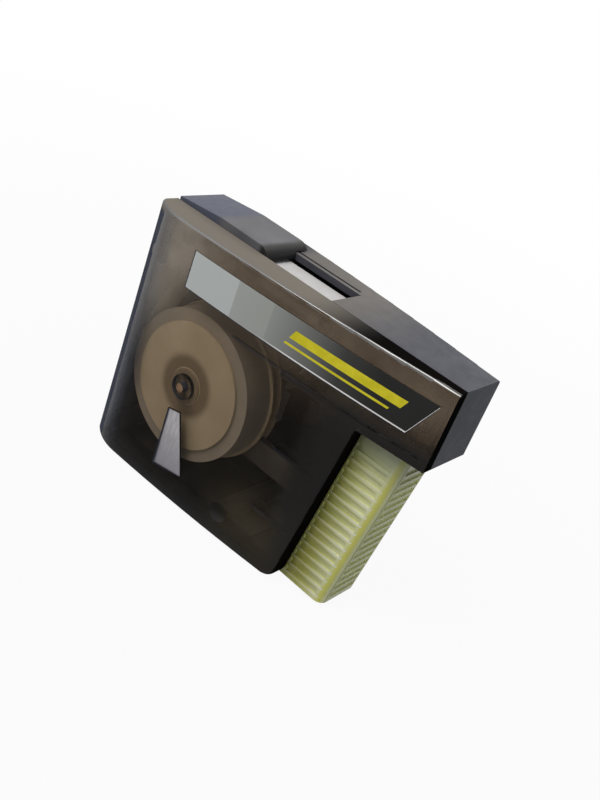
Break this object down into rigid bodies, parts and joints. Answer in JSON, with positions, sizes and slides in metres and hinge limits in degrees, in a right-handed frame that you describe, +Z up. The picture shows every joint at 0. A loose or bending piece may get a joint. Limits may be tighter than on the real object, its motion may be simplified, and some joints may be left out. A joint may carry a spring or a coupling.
{
  "type": "fibre optic connector cleaner",
  "caption": "Hand-held reel cleaner for fibre connector ends: bowed case with a smoky cover, tape window with sliding lid, coaxial tape reels, and a ribbed spring trigger with rack drive.",
  "frame": {"origin": "middle of the bounding box's foot, on the surface the case stands on", "axes": "+X along the length towards the trigger, -Y out of the labelled front, +Z up"},
  "size_m": [0.11, 0.0356, 0.0858],
  "materials": {
    "smoky_plastic": "glossy, smoky and see-through",
    "slate_plastic": "satin",
    "label_foil": "satin foil label in stepped greys",
    "gauge_foil": "satin silver",
    "steel": "satin",
    "spring_steel": "dark oxide",
    "felt": "pressed felt",
    "white_plastic": "satin",
    "pad_rubber": "matte",
    "cleaning_tape": "fine woven tape",
    "yellow_plastic": "glossy and see-through",
    "drive_plastic": "satin"
  },
  "bodies": {
    "housing": {"front_shell": "smoky_plastic", "rear_shell": "slate_plastic", "front_label": "label_foil", "gauge_label": "gauge_foil", "housing_screws": "steel", "reel_axle": "steel", "brake_washer": "felt", "thrust_washer": "white_plastic", "left_guide_pin": "steel", "right_guide_pin": "steel", "platen": "drive_plastic", "platen_pad": "pad_rubber", "cleaning_ribbon": "cleaning_tape", "return_spring": "spring_steel"},
    "trigger_slide_unit": {"trigger": "yellow_plastic", "drive_rack": "drive_plastic"},
    "drive_wheel": {"drive_pinion": "drive_plastic", "pawl_ring": "white_plastic"},
    "supply_reel": {"supply_hub": "white_plastic", "supply_front_flange": "white_plastic", "supply_rear_flange": "white_plastic", "supply_tape_roll": "cleaning_tape"},
    "takeup_reel": {"takeup_hub": "white_plastic", "takeup_front_flange": "white_plastic", "takeup_rear_flange": "white_plastic", "takeup_tape_roll": "cleaning_tape"},
    "shutter_lid": {"shutter": "slate_plastic"}
  },
  "joints": [
    {"name": "trigger_slide", "type": "slide", "parent": "housing", "child": "trigger_slide_unit", "axis": [-1, 0, 0], "range_m": [0, 0.012], "stiffness_N_per_m": 250, "springref_m": -0.006, "deforming": ["return_spring"]},
    {"name": "drive_wheel_turn", "type": "hinge", "parent": "housing", "child": "drive_wheel", "pos_m": [-0.025, 0, 0.0359], "axis": [0, 1, 0], "range_deg": [0, 115]},
    {"name": "takeup_spin", "type": "hinge", "parent": "housing", "child": "takeup_reel", "pos_m": [-0.025, 0, 0.0359], "axis": [0, 1, 0], "continuous": true},
    {"name": "supply_spin", "type": "hinge", "parent": "housing", "child": "supply_reel", "pos_m": [-0.025, 0, 0.0359], "axis": [0, 1, 0], "continuous": true},
    {"name": "shutter_slide", "type": "slide", "parent": "housing", "child": "shutter_lid", "axis": [1, 0, 0], "range_m": [0, 0.0248]}
  ],
  "couplings": [
    {"joint": "drive_wheel_turn", "follows": "trigger_slide", "rad_per_m": 166.67},
    {"joint": "takeup_spin", "follows": "supply_spin", "ratio": 1.6552}
  ]
}
